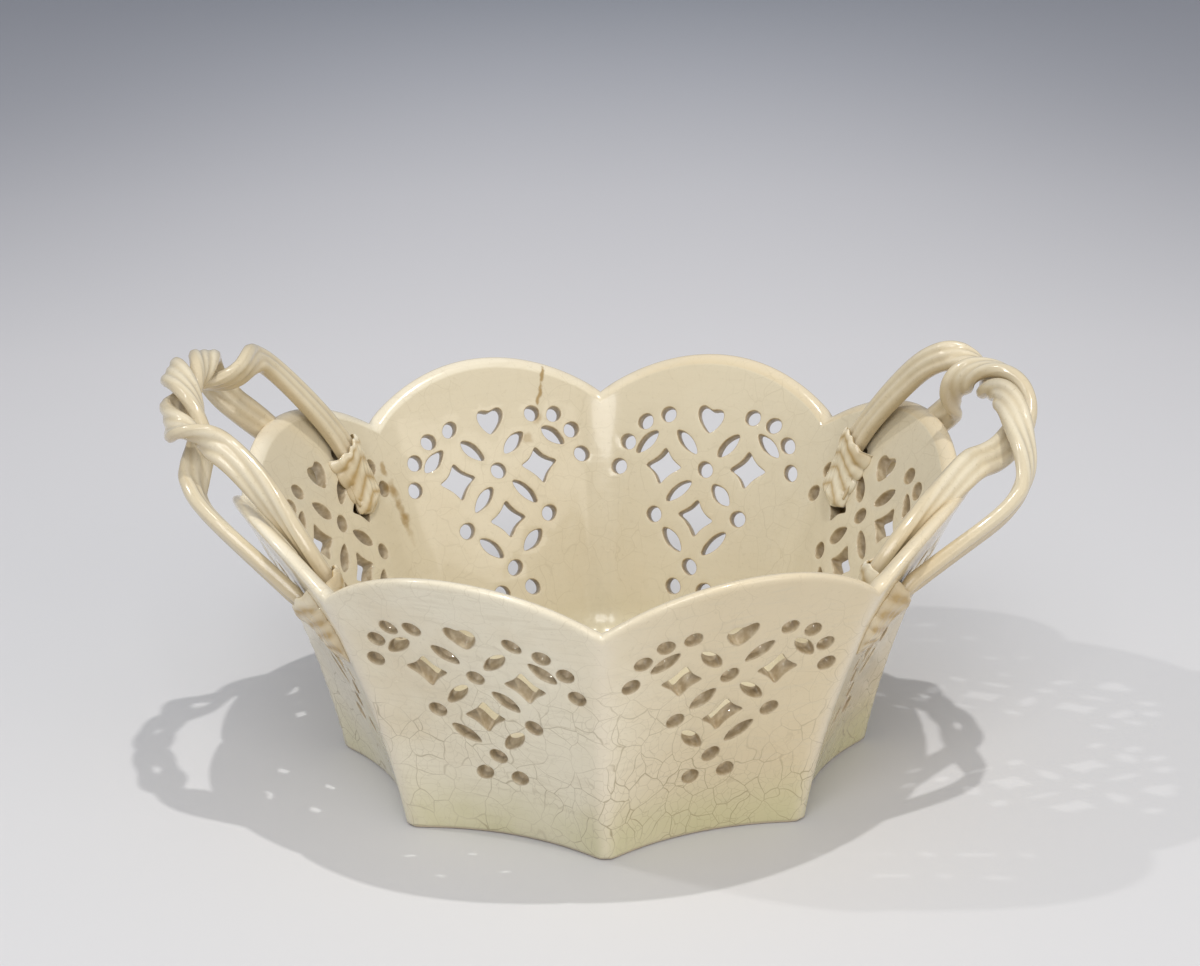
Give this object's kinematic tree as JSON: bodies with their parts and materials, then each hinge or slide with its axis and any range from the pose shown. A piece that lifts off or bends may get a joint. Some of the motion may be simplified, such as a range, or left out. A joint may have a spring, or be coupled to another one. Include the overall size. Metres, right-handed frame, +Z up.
{
  "type": "pierced pottery basket",
  "caption": "Octagonal pierced basket in cream-glazed earthenware with a scalloped rim and side handles of entwined reeded straps that end in moulded leaves",
  "frame": {"origin": "middle of the flat underside, on the surface the basket stands on", "axes": "+X to the right handle, +Z up, -Y is the front, where one arris of the octagon faces the viewer"},
  "size_m": [0.2254, 0.1882, 0.1088],
  "materials": {
    "body_glaze": "glossy cream lead glaze over fired earthenware, finely crazed, greenish where it pools near the foot and in corners",
    "strap_glaze": "glossy cream glaze over reeded straps, thin and pale on the reeds and darker in the grooves",
    "leaf_glaze": "glossy cream glaze over moulded leaves, amber where it pools in the veins"
  },
  "bodies": {
    "root": {"basket_body": "body_glaze", "left_handle_front_strap": "strap_glaze", "left_handle_back_strap": "strap_glaze", "right_handle_front_strap": "strap_glaze", "right_handle_back_strap": "strap_glaze", "left_front_inner_leaf": "leaf_glaze", "left_front_outer_leaf": "leaf_glaze", "left_back_inner_leaf": "leaf_glaze", "left_back_outer_leaf": "leaf_glaze", "right_front_inner_leaf": "leaf_glaze", "right_front_outer_leaf": "leaf_glaze", "right_back_inner_leaf": "leaf_glaze", "right_back_outer_leaf": "leaf_glaze"}
  },
  "joints": []
}
